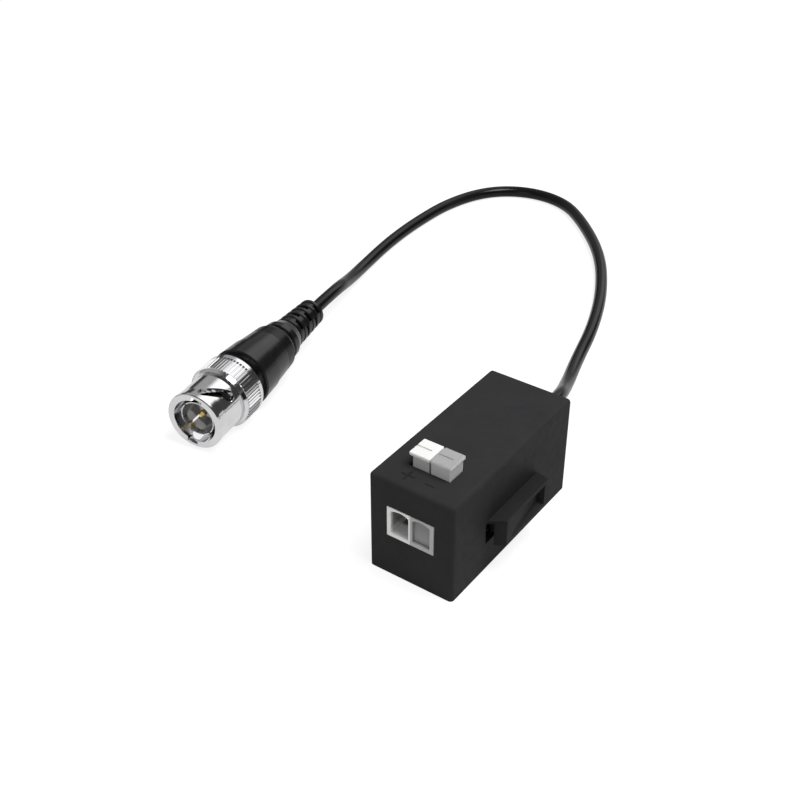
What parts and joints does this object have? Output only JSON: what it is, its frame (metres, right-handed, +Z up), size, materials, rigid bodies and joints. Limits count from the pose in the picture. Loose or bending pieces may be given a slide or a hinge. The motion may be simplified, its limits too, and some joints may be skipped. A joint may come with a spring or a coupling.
{
  "type": "passive video balun",
  "caption": "Small box-shaped video balun with two push-in wire terminals, a side rail for stacking and a coax pigtail ending in a bayonet plug.",
  "frame": {"origin": "centre of the box's bottom face, which is also the surface that the cable and plug lie on", "axes": "+X to the side with the rail, +Y from the terminal face to the cable end along the box's length, +Z up through the push buttons"},
  "size_m": [0.0941, 0.1523, 0.0243],
  "materials": {
    "housing_plastic": "fine matte grain",
    "board_laminate": "satin",
    "ferrite": "matte",
    "enamelled_copper": "gloss",
    "epoxy": "matte",
    "chip_ceramic": "satin",
    "white_plastic": "satin",
    "grey_plastic": "satin",
    "tinned_brass": "bright",
    "spring_steel": "bright",
    "gland_rubber": "satin",
    "cable_jacket": "semi-gloss",
    "dielectric": "satin",
    "copper_braid": "bright",
    "nickel_plate": "polished nickel",
    "insulator_plastic": "satin",
    "gold_contact": "bright",
    "seal_rubber": "matte",
    "boot_plastic": "semi-gloss"
  },
  "bodies": {
    "housing": {"housing_shell": "housing_plastic", "base_cover": "housing_plastic", "circuit_board": "board_laminate", "balun_core": "ferrite", "balun_windings": "enamelled_copper", "surge_suppressor": "epoxy", "chip_capacitors": "chip_ceramic", "chip_resistors": "epoxy", "terminal_body_plus": "white_plastic", "contact_plus": "tinned_brass", "clamp_spring_plus": "spring_steel", "terminal_body_minus": "grey_plastic", "contact_minus": "tinned_brass", "clamp_spring_minus": "spring_steel", "cable_gland": "gland_rubber", "cable_clip": "spring_steel", "cable_board_end": "cable_jacket", "stripped_end": "dielectric", "braid_tail": "copper_braid", "coax_cable": "cable_jacket", "plug_body": "nickel_plate", "ground_sleeve": "nickel_plate", "insulator": "insulator_plastic", "centre_pin": "gold_contact", "face_gasket": "seal_rubber", "spring_washer": "spring_steel", "crimp_ferrule": "nickel_plate", "plug_cable_end": "cable_jacket", "plug_boot": "boot_plastic"},
    "plus_button": {"button_plus": "white_plastic"},
    "minus_button": {"button_minus": "grey_plastic"},
    "nut_ring": {"snap_ring": "spring_steel"},
    "coupling": {"coupling_nut": "nickel_plate"}
  },
  "joints": [
    {"name": "plus_press", "type": "slide", "parent": "housing", "child": "plus_button", "axis": [0, 0, -1], "range_m": [0, 0.0016], "stiffness_N_per_m": 2500, "springref_m": -0.001, "deforming": ["clamp_spring_plus"]},
    {"name": "minus_press", "type": "slide", "parent": "housing", "child": "minus_button", "axis": [0, 0, -1], "range_m": [0, 0.0016], "stiffness_N_per_m": 2500, "springref_m": -0.001, "deforming": ["clamp_spring_minus"]},
    {"name": "coupling_draw", "type": "slide", "parent": "housing", "child": "nut_ring", "axis": [0.1642, -0.9864, 0], "range_m": [0, 0.001], "stiffness_N_per_m": 8000, "springref_m": -0.0003, "deforming": ["spring_washer"]},
    {"name": "coupling_turn", "type": "hinge", "parent": "nut_ring", "child": "coupling", "pos_m": [-0.0586, -0.0132, 0.00725], "axis": [0.1642, -0.9864, 0], "continuous": true}
  ]
}
